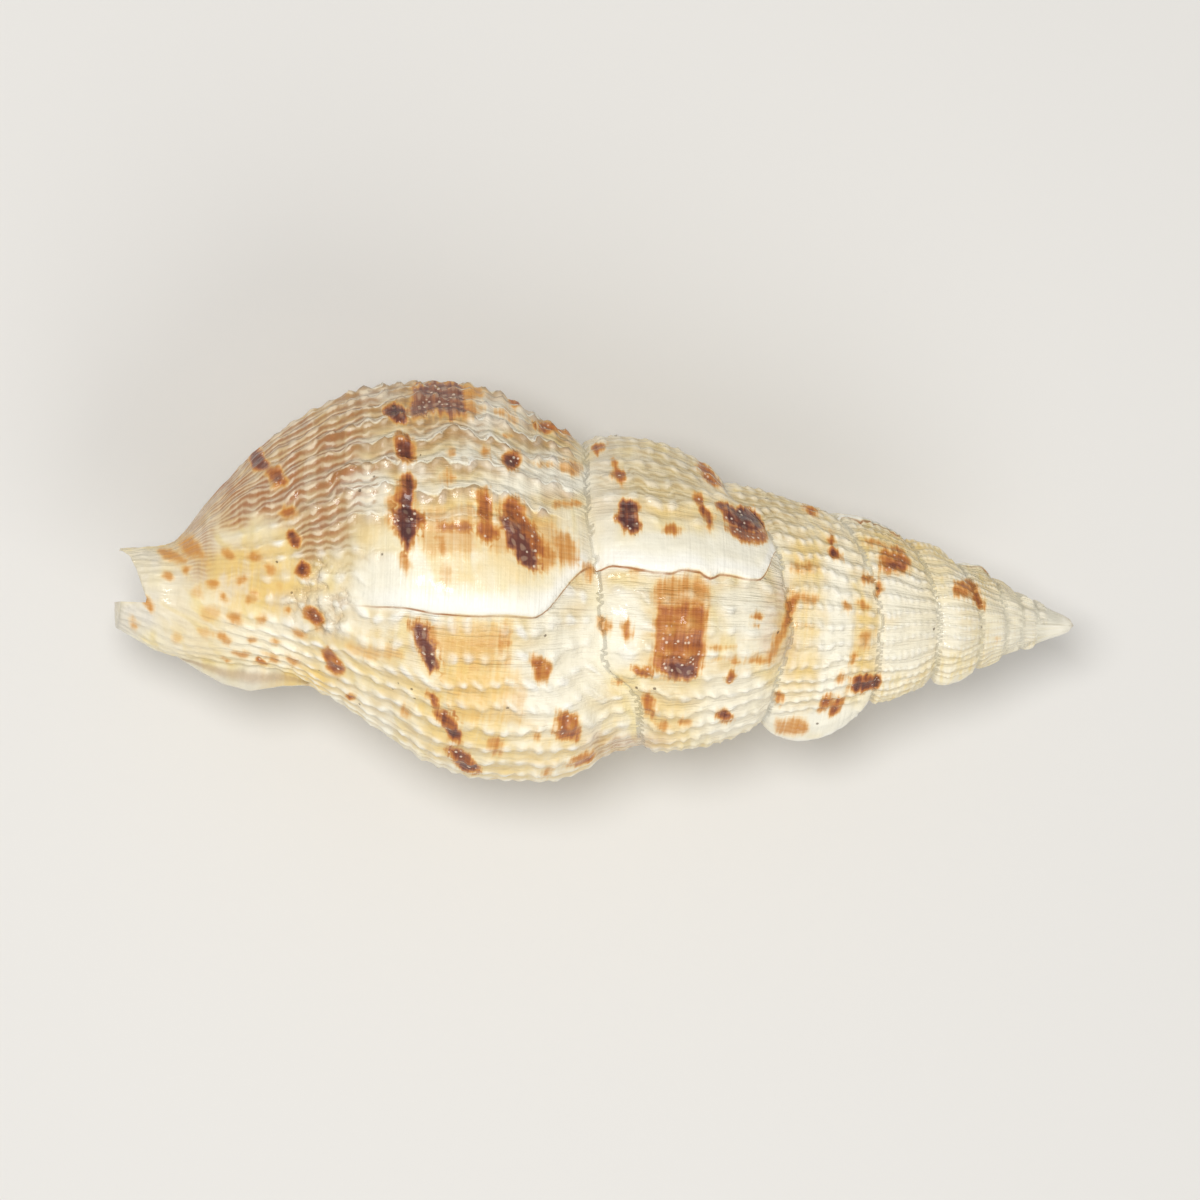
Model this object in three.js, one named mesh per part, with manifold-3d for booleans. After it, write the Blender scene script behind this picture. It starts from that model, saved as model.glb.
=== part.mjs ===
import * as THREE from "three";
import { mergeVertices } from "three/addons/utils/BufferGeometryUtils.js";
import { ConvexGeometry } from "three/addons/geometries/ConvexGeometry.js";
import Module from "manifold-3d";

// A Colubraria muricata shell, lying on its aperture. Millimetres, +Z up.
// Shell frame while it is built: the coiling axis is X with the apex at +X, "down" is the distance
// from the apex along the axis, azimuth 0 is the back of the shell (+Z) and 90 is the outer-lip side (+Y).
// The shell grows towards larger azimuth, so it is right-handed (dextral).

// Driving dimensions
const LENGTH = 80; // along the axis, nucleus to canal tip
const SUTURE_DOWN = 41.9; // suture of the last whorl, on the outer-lip side
const WHORL_RATIO = 0.73; // axial step from one whorl to the next older one
const SPIRE_TURN = -450; // above this the whorls close in faster
const SPIRE_RATIO = 0.7;
const TURNS = 8.4; // whorls from the nucleus to the outer lip
const LIP_AZIMUTH = 140; // where the last growth stopped
const COLUMNS = 76; // growth columns to one turn, two to each riblet

// Radius of the suture spiral against distance from the apex
const SUTURE_RADIUS = [
  [0, 0], [0.35, 0.5], [1.0, 0.85], [2.0, 1.2], [2.9, 1.6], [4.6, 2.25], [6.4, 3.0], [8.7, 4.05],
  [11.9, 4.9], [16.3, 6.8], [22.6, 8.4], [30.6, 10.25], [35.6, 11.8], [41.9, 12.6], [46, 13.1],
];
// Swelling of the whorl side over the chord between sutures, by half turns back from the lip side
const SWELL = [0.15, 0.16, 0.11, 0.03, 0.08, 0.08, 0.13, 0.14, 0.15, 0.14, 0.13, 0.12, 0.1, 0.08, 0.05, 0.02, 0, 0];

// Body whorl: radius at these parts of the way from suture to canal tip
const BODY_STATIONS = [0, 0.02, 0.06, 0.12, 0.2, 0.3, 0.4, 0.5, 0.6, 0.7, 0.8, 0.9, 1];
const BODY_INNER = [10.6, 11.1, 11.8, 12.9, 13.2, 11.9, 8.2, 4.4, 3.0, 2.7, 2.6, 2.4, 2.0]; // under the aperture
const BODY_LEFT = [12.2, 12.3, 12.8, 14.4, 15.2, 15.2, 14.1, 11.6, 9.0, 7.2, 7.0, 6.4, 4.4]; // azimuth -90
const BODY_RIGHT = [12.6, 13.2, 14.0, 15.1, 16.6, 17.2, 16.9, 16.1, 14.1, 11.2, 7.0, 2.6, 2.1]; // azimuth 90
const LIP_GROWTH = 1.03;

// Edge of the callus shield: distance down, radius
const SHIELD = [[55, 0], [59, 6.4], [62, 8.2], [66, 8.5], [68.7, 9.05], [70.9, 8.6], [72.6, 7.8], [74.6, 6.7], [78.5, 0]];

const RIB = 0.18; // riblet height, either side of the mean surface
const STEPS_BODY = 22;
const STEP_SPIRE = 1.35;

// Varices, turned-back old lips: azimuth counted along the growth from the back of the last whorl,
// height, and the width of the smooth face on the newer side
const VARICES = [
  { at: -6, high: 0.9, face: 28 },
  { at: -172, high: 0.9, face: 28 },
  { at: -349, high: 0.8, face: 20 },
  { at: -575, high: 0.9, face: 26 },
  { at: -812, high: 1.85, face: 26 },
  { at: -1004, high: 0.4, face: 24 },
  { at: -1250, high: 0.6, face: 24 },
  { at: -1533, high: 0.6, face: 24 },
  { at: -1725, high: 0.4, face: 24 },
  { at: -1990, high: 0.3, face: 24 },
];

// Aperture, canal and tip
const LIP_WALL = 1.7;
const HOLLOW_TURN = 150; // how far the hollow is followed inwards
const HOLLOW_STEP = 9;
const HOLLOW_LEAD = 3;
const HOLLOW_SIDE = 9;
const HOLLOW_FOOT = 71.5;
const CANAL_WIDTH = 2.2;
const CANAL = [[66, 2.6, -4.2], [72, 0.6, -3.2], [77, -0.9, -2.2], [82, -0.9, 0.2]]; // down, +Y, +Z
const TIP_NOTCH = [[85, 1.95], [79.6, 1.9], [78.8, 1.5], [78, 0.4], [77.4, -0.9], [76.95, -1.9], [77, -2.25], [85, -2.35]];
const TIP_UNDERCUT = 0.25; // the notch leans back under the tip

// How it lies
const REST_ROLL = -0.8;
const REST_FLAT = 0.4;

const rad = THREE.MathUtils.degToRad;
const clamp = THREE.MathUtils.clamp;
const smooth = THREE.MathUtils.smoothstep;

// Straight-line reading of a list of [place, value] pairs
function read(list, at) {
  if (at <= list[0][0]) return list[0][1];
  for (let i = 1; i < list.length; i++)
    if (at <= list[i][0]) {
      const [a, p] = list[i - 1], [b, q] = list[i];
      return p + ((q - p) * (at - a)) / (b - a);
    }
  return list[list.length - 1][1];
}
// Smooth reading of values at the body stations
function readBody(values, v) {
  const s = BODY_STATIONS;
  let i = 1;
  while (i < s.length - 1 && v > s[i]) i++;
  const h = s[i] - s[i - 1], t = clamp((v - s[i - 1]) / h, 0, 1);
  const slope = (j) => {
    if (j === 0) return (values[1] - values[0]) / (s[1] - s[0]);
    if (j === s.length - 1) return (values[j] - values[j - 1]) / (s[j] - s[j - 1]);
    const l = (values[j] - values[j - 1]) / (s[j] - s[j - 1]), r = (values[j + 1] - values[j]) / (s[j + 1] - s[j]);
    return l * r <= 0 ? 0 : (2 * l * r) / (l + r);
  };
  const a = values[i - 1], b = values[i], m = slope(i - 1) * h, n = slope(i) * h;
  const t2 = t * t, t3 = t2 * t;
  return a * (2 * t3 - 3 * t2 + 1) + m * (t3 - 2 * t2 + t) + b * (3 * t2 - 2 * t3) + n * (t3 - t2);
}

// Each suture climbs a little under a varix and drops after it; the last one drops across the back
const SUTURE_SHIFT = [
  [-2160, 0], [-1890, -0.35], [-1800, -0.65], [-1710, -0.2], [-1620, -0.3], [-1530, -0.75], [-1440, -1.3],
  [-1395, -0.75], [-1350, 0], [-1215, -0.65], [-1170, -0.9], [-1125, -1.3], [-1080, -1.7], [-1035, -1.2],
  [-990, -0.3], [-900, -0.45], [-855, -0.6], [-810, -1.15], [-765, -1.8], [-720, -2.4], [-675, -1.6], [-630, -0.5],
  [-540, 0], [-450, 0], [-397, -1.4], [-374, -2.7], [-330, -2.4], [-310, -1.2], [-300, 1.0], [-280, 0],
  [-90, 0], [-45, 0.3], [-36, 0.6], [-28, 3.1], [35, 3.1], [60, 1.9], [75, 1.0], [95, 0],
];
function sutureDown(turn) {
  const near = Math.max(turn, SPIRE_TURN), far = Math.min(0, turn - SPIRE_TURN);
  return SUTURE_DOWN * WHORL_RATIO ** ((90 - near) / 360) * SPIRE_RATIO ** (-far / 360) + read(SUTURE_SHIFT, turn);
}

function varixHeight(turn, part) {
  let h = 0;
  for (const v of VARICES) {
    const lean = 18 * (1 - smooth(part, 0, 0.16));
    const s = turn - (v.at + lean);
    if (s > -4.8 && s <= 0) h = Math.max(h, v.high * smooth(s, -4.8, 0));
    else if (s > 0 && s < v.face) h = Math.max(h, v.high * (1 - smooth(s, 0, v.face)));
  }
  return h;
}

function spireRadius(turn, v) {
  const a = sutureDown(turn), b = sutureDown(turn + 360);
  const ra = read(SUTURE_RADIUS, a), rb = read(SUTURE_RADIUS, b);
  const back = (90 - turn) / 180 - 1;
  const i = clamp(Math.floor(back), 0, SWELL.length - 2);
  const swell = SWELL[i] + (SWELL[i + 1] - SWELL[i]) * clamp(back - i, 0, 1);
  const side = (4 * v * (1 - v)) ** 0.62;
  const size = clamp((b - a) / 8, 0, 1.2);
  return ra + (rb - ra) * v + swell * (b - a) * side + varixHeight(turn, v) * side ** 1.2 * Math.min(1, 0.4 + size);
}

const LIP_TURN = LIP_AZIMUTH;
const FIRST_BODY = LIP_TURN - 360;
function bodyRadius(turn, v) {
  const down = sutureDown(turn) + v * (LENGTH - sutureDown(turn));
  const grown = (inner, left, right) => {
    if (turn < -90) return inner + (left - inner) * smooth(turn, FIRST_BODY, -90) ** 0.8;
    if (turn < 90) return left + (right - left) * smooth(turn, -90, 90);
    return right * (1 + (LIP_GROWTH - 1) * ((turn - 90) / (LIP_TURN - 90)));
  };
  let r = grown(readBody(BODY_INNER, v), readBody(BODY_LEFT, v), readBody(BODY_RIGHT, v));
  // the suture keeps the radius the older whorl left it
  const own = read(SUTURE_RADIUS, sutureDown(turn));
  r += (own - grown(BODY_INNER[0], BODY_LEFT[0], BODY_RIGHT[0])) * (1 - smooth(v, 0, 0.15));
  if (v === 0) return own;
  // callus shield over the columella
  const plate = read(SHIELD, down);
  if (turn < -82 && turn > -175) r = Math.max(r, plate * smooth(turn, -175, -150));
  r += varixHeight(turn, v) * smooth(v, 0, 0.04) * (1 - smooth(v, 0.42, 0.56));
  // outer lip, thick and turned out
  r += 1.3 * smooth(turn, LIP_TURN - 22, LIP_TURN - 4) * smooth(v, 0, 0.1) * (1 - smooth(v, 0.75, 0.95));
  return r;
}

// Mesh
const points = [];
const faces = [];
const put = (turn, down, r) => {
  const a = rad(turn);
  points.push(LENGTH - down, r * Math.sin(a), r * Math.cos(a));
  return points.length / 3 - 1;
};
const STEP = 360 / COLUMNS;
const LAST = Math.round(TURNS * COLUMNS);
const turnOf = (k) => LIP_TURN - (LAST - k) * STEP;
const sutures = [];
for (let k = 0; k <= LAST; k++) {
  const t = turnOf(k), d = sutureDown(t);
  sutures.push(put(t, d, read(SUTURE_RADIUS, d)));
}
const columns = [];
for (let k = 0; k <= LAST; k++) {
  const t = turnOf(k), a = sutureDown(t), rib = k % 2 ? RIB : -RIB;
  const column = [{ id: sutures[k], v: 0, at: a }];
  if (k < LAST - COLUMNS) {
    const b = sutureDown(t + 360), n = Math.max(2, Math.round((b - a) / STEP_SPIRE));
    for (let j = 1; j < n; j++) {
      const v = j / n, size = clamp((b - a) / 7, 0, 1);
      column.push({ id: put(t, a + (b - a) * v, spireRadius(t, v) + rib * size), v, at: a + (b - a) * v });
    }
    column.push({ id: sutures[k + COLUMNS], v: 1, at: b });
  } else {
    const lipDown = sutureDown(LIP_TURN);
    for (let j = 1; j <= STEPS_BODY; j++) {
      const v = j / STEPS_BODY, d = a + (LENGTH - a) * v;
      if (k === LAST - COLUMNS) {
        if (column[column.length - 1].at < lipDown && d >= lipDown)
          column.push({ id: sutures[LAST], v: (lipDown - a) / (LENGTH - a), at: lipDown, joint: true });
        if (Math.abs(d - lipDown) < 0.6) continue;
      }
      const fade = smooth(v, 0.01, 0.06) * (1 - smooth(v, 0.7, 0.9));
      column.push({ id: put(t, d, bodyRadius(t, v) + rib * fade * (k === LAST - COLUMNS || k === LAST ? 0 : 1)), v, at: d });
    }
  }
  columns.push(column);
}
// Joins two columns of any length, older one first
function zip(a, b) {
  let i = 0, j = 0;
  const n = a.length - 1, m = b.length - 1;
  const place = (c, q) => (c[q].at - c[0].at) / (c[c.length - 1].at - c[0].at);
  while (i < n || j < m) {
    if (j >= m || (i < n && place(a, i + 1) <= place(b, j + 1))) {
      if (!(a[i].id === b[j].id || a[i + 1].id === b[j].id)) faces.push(a[i].id, b[j].id, a[i + 1].id);
      i++;
    } else {
      if (!(a[i].id === b[j].id || a[i].id === b[j + 1].id)) faces.push(a[i].id, b[j].id, b[j + 1].id);
      j++;
    }
  }
}
for (let k = 0; k < LAST; k++) {
  let a = columns[k], b = columns[k + 1];
  if (k === LAST - COLUMNS - 1) b = b.slice(0, b.findIndex((p) => p.joint) + 1);
  zip(a, b);
}
const innerColumn = columns[LAST - COLUMNS];
zip(columns[LAST], innerColumn.slice(innerColumn.findIndex((p) => p.joint)));
// End of the snout
const tip = put(0, LENGTH + 0.05, 0);
for (let k = LAST - COLUMNS; k <= LAST; k++) {
  const p = columns[k].at(-1).id, q = columns[k === LAST ? LAST - COLUMNS : k + 1].at(-1).id;
  faces.push(tip, p, q);
}
// Nucleus
const rim = [];
for (let k = 0; k <= COLUMNS; k++) rim.push([sutures[k], turnOf(k), sutureDown(turnOf(k))]);
for (const p of columns[0].slice(1, -1).reverse()) rim.push([p.id, turnOf(0), p.at]);
const pole = put(0, 0, 0);
const ring = rim.map(([, t, d]) => put(t, d * 0.35, read(SUTURE_RADIUS, d * 0.35)));
rim.forEach(([id], i) => {
  const n = (i + 1) % rim.length;
  faces.push(ring[i], rim[n][0], id, ring[i], ring[n], rim[n][0], pole, ring[n], ring[i]);
});

const wasm = await Module();
wasm.setup();
function solidOf(geometry) {
  const bare = geometry.clone();
  bare.deleteAttribute("normal");
  bare.deleteAttribute("uv");
  const merged = mergeVertices(bare, 1e-5);
  return new wasm.Manifold(
    new wasm.Mesh({
      numProp: 3,
      vertProperties: new Float32Array(merged.attributes.position.array),
      triVerts: new Uint32Array(merged.index.array),
    }),
  );
}
function geometryOf(solid) {
  const mesh = solid.getMesh();
  return new THREE.BufferGeometry()
    .setAttribute("position", new THREE.BufferAttribute(new Float32Array(mesh.vertProperties), 3))
    .setIndex(new THREE.BufferAttribute(new Uint32Array(mesh.triVerts), 1));
}
const surface = (p, f) =>
  new THREE.BufferGeometry().setAttribute("position", new THREE.Float32BufferAttribute(p, 3)).setIndex(f);
let shell = solidOf(surface(points, faces));

// Aperture and the hollow behind it, spiralling back into the body whorl
const hollowPoints = [], hollowFaces = [];
{
  const around = 2 * HOLLOW_SIDE;
  let sections = 0;
  for (let t = LIP_TURN + HOLLOW_LEAD; t > LIP_TURN - HOLLOW_TURN - 1; t -= HOLLOW_STEP) {
    const back = clamp((LIP_TURN - t) / HOLLOW_TURN, 0, 1), at = Math.min(t, LIP_TURN);
    const a = sutureDown(at) + 1.2 + 3 * back, b = HOLLOW_FOOT - 5 * back;
    const thick = LIP_WALL + 1.2 * smooth(back, 0, 0.5), gap = 0.1 + 1.4 * smooth(back, 0, 0.4);
    const outer = [], inner = [];
    for (let j = 0; j < HOLLOW_SIDE; j++) {
      const s = (j + 0.5) / HOLLOW_SIDE, d = a + (b - a) * s, v = (d - sutureDown(at)) / (LENGTH - sutureDown(at));
      const v0 = (d - sutureDown(FIRST_BODY)) / (LENGTH - sutureDown(FIRST_BODY));
      const ro = bodyRadius(at, clamp(v, 0, 1)) - thick;
      const ri = Math.max(1.2, readBody(BODY_INNER, clamp(v0, 0, 1)) * LIP_GROWTH ** (-6 * back)) + gap;
      const mid = (ro + ri) / 2, half = Math.max(0.35, ((ro - ri) / 2) * (1 - 0.62 * back) * (1 - Math.abs(2 * s - 1) ** 7));
      outer.push([d, mid + half]);
      inner.push([d, mid - half]);
    }
    for (const [d, r] of [...outer, ...inner.reverse()]) {
      const q = rad(t);
      hollowPoints.push(LENGTH - d, r * Math.sin(q), r * Math.cos(q));
    }
    sections++;
  }
  for (let i = 0; i < sections - 1; i++)
    for (let j = 0; j < around; j++) {
      const n = (j + 1) % around, p = i * around, q = p + around;
      hollowFaces.push(p + j, p + n, q + j, p + n, q + n, q + j);
    }
  for (let j = 1; j < around - 1; j++) {
    const q = (sections - 1) * around;
    hollowFaces.push(0, j + 1, j, q, q + j, q + j + 1);
  }
}
shell = shell.subtract(solidOf(surface(hollowPoints, hollowFaces)));

// Siphonal canal, open below, from the foot of the aperture to the tip
const round = new THREE.IcosahedronGeometry(CANAL_WIDTH / 2, 1).getAttribute("position");
const stop = ([d, y, z]) => {
  const out = [];
  for (let i = 0; i < round.count; i++) {
    const p = new THREE.Vector3().fromBufferAttribute(round, i).add(new THREE.Vector3(LENGTH - d, y, z));
    out.push(p, p.clone().add(new THREE.Vector3(-0.5, 2, -9)));
  }
  return out;
};
for (let i = 0; i < CANAL.length - 1; i++)
  shell = shell.subtract(solidOf(new ConvexGeometry([...stop(CANAL[i]), ...stop(CANAL[i + 1])])));
// Notch between the two prongs of the tip
const notch = new THREE.Shape(TIP_NOTCH.map(([d, y]) => new THREE.Vector2(LENGTH - d, y)));
const notchBlock = new THREE.ExtrudeGeometry(notch, { depth: 40, bevelEnabled: false }).translate(0, 0, -20);
notchBlock.applyMatrix4(new THREE.Matrix4().makeShear(0, 0, 0, 0, -TIP_UNDERCUT, 0));
shell = shell.subtract(solidOf(notchBlock));

// Lying on the lip and on the belly of the body whorl, each worn to a small flat
const lying = geometryOf(shell).rotateX(rad(REST_ROLL));
lying.computeBoundingBox();
const low = lying.boundingBox.min.z + REST_FLAT;
const floor = new THREE.BoxGeometry(200, 200, 20).translate(0, 0, low - 10);
const geometry = geometryOf(solidOf(lying).subtract(solidOf(floor)));
geometry.computeBoundingBox();
const box = geometry.boundingBox;
geometry.translate(-(box.min.x + box.max.x) / 2, -(box.min.y + box.max.y) / 2, -box.min.z);

const piece = new THREE.Mesh(geometry, new THREE.MeshStandardMaterial({ color: 0xf0e6cf }));
piece.name = "shell";
const group = new THREE.Group();
group.add(piece);
export default group;
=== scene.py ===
import math
import bmesh
import bpy
import numpy as np
from mathutils import Matrix, Vector


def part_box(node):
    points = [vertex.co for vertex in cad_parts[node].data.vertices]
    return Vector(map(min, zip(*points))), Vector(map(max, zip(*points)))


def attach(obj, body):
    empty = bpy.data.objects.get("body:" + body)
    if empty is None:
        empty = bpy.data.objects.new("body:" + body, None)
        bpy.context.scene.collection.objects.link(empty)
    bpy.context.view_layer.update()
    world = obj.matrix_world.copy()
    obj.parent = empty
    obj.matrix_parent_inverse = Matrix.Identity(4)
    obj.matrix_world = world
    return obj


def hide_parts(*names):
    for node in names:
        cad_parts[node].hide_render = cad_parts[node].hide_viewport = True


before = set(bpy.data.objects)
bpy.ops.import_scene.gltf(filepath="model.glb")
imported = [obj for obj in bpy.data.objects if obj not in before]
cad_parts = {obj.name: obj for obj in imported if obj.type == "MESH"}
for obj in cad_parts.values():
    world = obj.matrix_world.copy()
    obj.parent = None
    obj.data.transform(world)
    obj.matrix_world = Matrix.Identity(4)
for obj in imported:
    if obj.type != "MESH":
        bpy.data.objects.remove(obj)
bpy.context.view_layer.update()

MM = 0.001

# The shell's own measures, in millimetres and degrees. While it is built the coiling axis is X with
# the apex at +X, "down" is the distance from the apex, turn 0 is the back of the last whorl and grows
# towards the lip.
LENGTH = 80.0
SUTURE_DOWN = 41.9
WHORL_RATIO = 0.73
SPIRE_TURN, SPIRE_RATIO = -450.0, 0.7
TURNS = 8.4
LIP = 140.0
FIRST_BODY = LIP - 360.0
RIBLETS = 38
COLUMNS = 304
SOLID_COLUMNS = 76
SUTURE_RADIUS = [
    (0, 0), (0.35, 0.5), (1.0, 0.85), (2.0, 1.2), (2.9, 1.6), (4.6, 2.25), (6.4, 3.0), (8.7, 4.05),
    (11.9, 4.9), (16.3, 6.8), (22.6, 8.4), (30.6, 10.25), (35.6, 11.8), (41.9, 12.6), (46, 13.1),
]
SWELL = [0.15, 0.16, 0.11, 0.03, 0.08, 0.08, 0.13, 0.14, 0.15, 0.14, 0.13, 0.12, 0.1, 0.08, 0.05, 0.02, 0, 0]
STATIONS = [0, 0.02, 0.06, 0.12, 0.2, 0.3, 0.4, 0.5, 0.6, 0.7, 0.8, 0.9, 1]
BODY_INNER = [10.6, 11.1, 11.8, 12.9, 13.2, 11.9, 8.2, 4.4, 3.0, 2.7, 2.6, 2.4, 2.0]
BODY_LEFT = [12.2, 12.3, 12.8, 14.4, 15.2, 15.2, 14.1, 11.6, 9.0, 7.2, 7.0, 6.4, 4.4]
BODY_RIGHT = [12.6, 13.2, 14.0, 15.1, 16.6, 17.2, 16.9, 16.1, 14.1, 11.2, 7.0, 2.6, 2.1]
LIP_GROWTH = 1.03
SUTURE_SHIFT = [
    (-2160, 0), (-1890, -0.35), (-1800, -0.65), (-1710, -0.2), (-1620, -0.3), (-1530, -0.75),
    (-1440, -1.3), (-1395, -0.75), (-1350, 0), (-1215, -0.65), (-1170, -0.9), (-1125, -1.3),
    (-1080, -1.7), (-1035, -1.2), (-990, -0.3), (-900, -0.45), (-855, -0.6), (-810, -1.15), (-765, -1.8),
    (-720, -2.4), (-675, -1.6), (-630, -0.5), (-540, 0), (-450, 0), (-397, -1.4), (-374, -2.7),
    (-330, -2.4), (-310, -1.2), (-300, 1.0), (-280, 0), (-90, 0), (-45, 0.3), (-36, 0.6), (-28, 3.1),
    (35, 3.1), (60, 1.9), (75, 1.0), (95, 0),
]
# Turn of the edge, height, width of the smooth face
VARICES = [
    (-6, 0.9, 28), (-172, 0.9, 28), (-349, 0.8, 20), (-575, 0.9, 26), (-812, 1.85, 26), (-1004, 0.4, 24),
    (-1250, 0.6, 24), (-1533, 0.6, 24), (-1725, 0.4, 24), (-1990, 0.3, 24),
]
LIP_WALL = 1.7
HOLLOW_TURN = 150.0
HOLLOW_FOOT = 71.5
HOLLOW_STEP = 3.0
HOLLOW_LEAD = 3
CANAL_WIDTH = 2.2
CANAL = [(66, 2.6, -4.2), (72, 0.6, -3.2), (77, -0.9, -2.2), (82, -0.9, 0.2)]
TIP_UNDERCUT = 0.25
TIP_START, TIP_INSIDE = 78.6, 0.3
TIP_NOTCH = [
    (85, 1.95), (79.6, 1.9), (78.8, 1.5), (78, 0.4), (77.4, -0.9), (76.95, -1.9), (77, -2.25), (85, -2.35),
]
SHIELD = [
    (55, 0), (59, 6.4), (62, 8.2), (66, 8.5), (68.7, 9.05), (70.9, 8.6), (72.6, 7.8), (74.6, 6.7), (78.5, 0),
]
REST_ROLL = -0.8
SPIRE_CORDS = 9
BODY_CORD = 1.42


def smooth(x, a, b):
    """0 up to a, 1 from b on and a soft step between them."""
    t = np.clip((np.asarray(x, float) - a) / (b - a), 0, 1)
    return t * t * (3 - 2 * t)


def curve(places, values):
    """A smooth reading of values at places that never overshoots them."""
    s, y = np.array(places, float), np.array(values, float)
    h = np.diff(s)
    slope = np.diff(y) / h
    before, after = slope[:-1], slope[1:]
    m = np.zeros(len(s))
    both = before * after > 0
    m[1:-1][both] = 2 * before[both] * after[both] / (before[both] + after[both])
    m[0], m[-1] = slope[0], slope[-1]

    def at(x):
        x = np.clip(x, s[0], s[-1])
        i = np.clip(np.searchsorted(s, x, side="right") - 1, 0, len(h) - 1)
        t = (x - s[i]) / h[i]
        return (y[i] * (2 * t**3 - 3 * t**2 + 1) + m[i] * h[i] * (t**3 - 2 * t**2 + t)
                + y[i + 1] * (3 * t**2 - 2 * t**3) + m[i + 1] * h[i] * (t**3 - t**2))
    return at


suture_radius = curve(*zip(*SUTURE_RADIUS))
inner_of, left_of, right_of = (curve(STATIONS, v) for v in (BODY_INNER, BODY_LEFT, BODY_RIGHT))
shift_at, shift_by = zip(*SUTURE_SHIFT)


def suture_down(turn):
    """How far down from the apex the suture lies."""
    turn = np.asarray(turn, float)
    shift = sum(np.interp(turn + o, shift_at, shift_by) for o in (-5, -2.5, 0, 2.5, 5)) / 5
    spire = SPIRE_RATIO ** (-np.minimum(0, turn - SPIRE_TURN) / 360)
    return SUTURE_DOWN * WHORL_RATIO ** ((90 - np.maximum(turn, SPIRE_TURN)) / 360) * spire + shift


def noise(x, y, z, seed=0):
    """Smooth value noise, -1 to 1, over unit cells."""
    fx, fy, fz = np.floor(x), np.floor(y), np.floor(z)
    tx, ty, tz = x - fx, y - fy, z - fz
    tx, ty, tz = (t * t * (3 - 2 * t) for t in (tx, ty, tz))
    out = 0
    for i in (0, 1):
        for j in (0, 1):
            for k in (0, 1):
                a = (fx + i) * 127.1 + (fy + j) * 311.7 + (fz + k) * 74.7 + seed * 53.3
                value = np.modf(np.abs(np.sin(a) * 43758.5453))[0] * 2 - 1
                weight = (tx if i else 1 - tx) * (ty if j else 1 - ty) * (tz if k else 1 - tz)
                out = out + value * weight
    return out


def varix(turn, part):
    """Height of the varices there, how much is smooth face, how close before an edge, turn past the edge."""
    high = np.zeros_like(turn)
    face = np.zeros_like(turn)
    crowd = np.zeros_like(turn)
    past = np.full_like(turn, 90.0)
    lean = 18 * (1 - smooth(part, 0, 0.16))
    for at, h, width in VARICES:
        s = turn - (at + lean)
        s = s + 1.3 * noise(part * 14, turn * 0, turn * 0 + at, 5)
        up = h * smooth(s, -1.3, 0) * (s <= 0) + h * (1 - smooth(s, 0, width)) * (s > 0)
        high = np.maximum(high, up)
        face = np.maximum(face, smooth(s, -1.2, 0.4) * (1 - smooth(s, width * 0.72, width * 1.05)))
        crowd = np.maximum(crowd, smooth(s, -26, -8) * (1 - smooth(s, -1.5, 0)))
        past = np.where(np.abs(s) < np.abs(past), s, past)
    return high, face, crowd, past


def spire_mean(turn, v):
    """A spire whorl without its sculpture, v from its upper suture to its lower one."""
    a, b = suture_down(turn), suture_down(turn + 360)
    ra, rb = suture_radius(a), suture_radius(b)
    swell = np.interp((90 - turn) / 180 - 1, range(len(SWELL)), SWELL)
    side = (4 * v * (1 - v)) ** 0.62
    size = np.clip((b - a) / 8, 0, 1.2)
    high, face, crowd, past = varix(turn, v)
    r = ra + (rb - ra) * v + swell * (b - a) * side
    return r + high * side**1.2 * np.minimum(1, 0.4 + size), face, crowd, past


def body_mean(turn, v):
    """The last whorl without its sculpture, v from the suture to the tip."""
    down = suture_down(turn) + v * (LENGTH - suture_down(turn))
    grow = smooth(turn, FIRST_BODY, -90) ** 0.8
    across = smooth(turn, -90, 90)
    lip = 1 + (LIP_GROWTH - 1) * np.clip((turn - 90) / (LIP - 90), 0, 1)

    def blend(f):
        low = f[0] + (f[1] - f[0]) * grow
        return np.where(turn < -90, low, (f[1] + (f[2] - f[1]) * across) * lip)
    r = blend([inner_of(v), left_of(v), right_of(v)])
    own = suture_radius(suture_down(turn))
    r = r + (own - blend([BODY_INNER[0], BODY_LEFT[0], BODY_RIGHT[0]])) * (1 - smooth(v, 0, 0.15))
    plate = np.interp(down, *zip(*SHIELD)) * smooth(turn, -175, -150)
    shield = np.where((turn < -81) & (turn > -175), smooth(plate - r, -0.1, 0.5) * (turn < -82), 0)
    r = np.where((turn < -82) & (turn > -175), np.maximum(r, plate), r)
    high, face, crowd, past = varix(turn, v)
    reach = smooth(v, 0, 0.04) * (1 - smooth(v, 0.42, 0.56))
    r = r + high * reach
    r = r + 1.3 * smooth(turn, LIP - 22, LIP - 4) * smooth(v, 0, 0.1) * (1 - smooth(v, 0.75, 0.95))
    return np.where(v <= 0, own, r), face * reach, crowd * reach, past, reach, shield


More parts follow.
